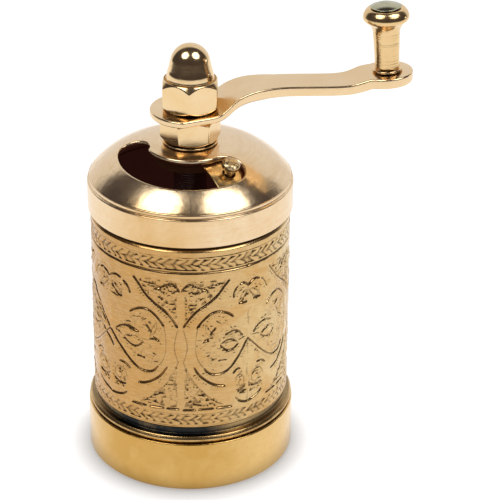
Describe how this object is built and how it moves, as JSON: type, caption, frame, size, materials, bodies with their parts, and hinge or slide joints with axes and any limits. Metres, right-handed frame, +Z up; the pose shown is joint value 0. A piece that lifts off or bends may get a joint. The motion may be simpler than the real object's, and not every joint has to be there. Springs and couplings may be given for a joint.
{
  "type": "hand coffee mill",
  "caption": "Cylindrical pocket coffee mill in brass: engraved body, pull-off grounds cup, domed lid with a sliding filler shutter, and a bent crank arm with a turning knob.",
  "frame": {"origin": "centre of the cup's flat underside, where the mill stands on a table", "axes": "+Z up along the drive shaft, +X towards the knob with the crank at rest, -Y towards the filler slot's middle"},
  "size_m": [0.0785, 0.0516, 0.1184],
  "materials": {
    "polished_brass": "polished",
    "engraved_brass": "engraved and patinated",
    "dark_brass": "dull, with coffee stains",
    "steel": "bright",
    "cast_iron": "as cast, with ground flutes"
  },
  "bodies": {
    "cup": {"base_cup": "polished_brass"},
    "housing": {"mill_body": "engraved_brass", "spigot_ring": "polished_brass", "lid_cap": "polished_brass", "lid_bush": "dark_brass", "shutter_wave_washer": "steel", "shaft_guide": "dark_brass", "burr_seat": "dark_brass", "ring_burr": "cast_iron", "burr_bridge": "dark_brass", "bridge_screw_right": "steel", "bridge_screw_left": "steel", "adjuster_lock_nut": "dark_brass"},
    "shutter": {"shutter_plate": "dark_brass", "shutter_peg": "polished_brass"},
    "thrust": {"thrust_ball": "steel"},
    "crank": {"drive_shaft": "steel", "hub_washer": "polished_brass", "hub_nut": "polished_brass", "crank_arm": "polished_brass", "acorn_nut": "polished_brass", "knob_washer": "polished_brass", "knob_rivet": "steel", "shaft_spring": "steel", "spring_collar": "steel", "cone_burr": "cast_iron", "burr_nut": "steel"},
    "knob": {"knob_grip": "polished_brass"},
    "adjuster": {"adjuster_screw": "dark_brass"}
  },
  "joints": [
    {"name": "body_lift", "type": "slide", "parent": "cup", "child": "housing", "axis": [0, 0, 1], "range_m": [0, 0.03]},
    {"name": "shutter_swing", "type": "hinge", "parent": "housing", "child": "shutter", "pos_m": [0, 0, 0.0815], "axis": [0, 0, 1], "range_deg": [-122, 0]},
    {"name": "burr_lift", "type": "slide", "parent": "housing", "child": "thrust", "axis": [0, 0, 1], "range_m": [0, 0.0006], "deforming": ["shaft_spring"]},
    {"name": "adjuster_turn", "type": "hinge", "parent": "thrust", "child": "adjuster", "pos_m": [0, 0, 0.0132], "axis": [0, 0, 1], "range_deg": [0, 310]},
    {"name": "crank_turn", "type": "hinge", "parent": "thrust", "child": "crank", "pos_m": [0, 0, 0.085], "axis": [0, 0, 1], "continuous": true},
    {"name": "knob_turn", "type": "hinge", "parent": "crank", "child": "knob", "pos_m": [0.0466, 0, 0.1014], "axis": [-0.0628, 0, 0.998], "continuous": true}
  ],
  "couplings": [
    {"joint": "adjuster_turn", "follows": "burr_lift", "rad_per_m": 8976}
  ]
}
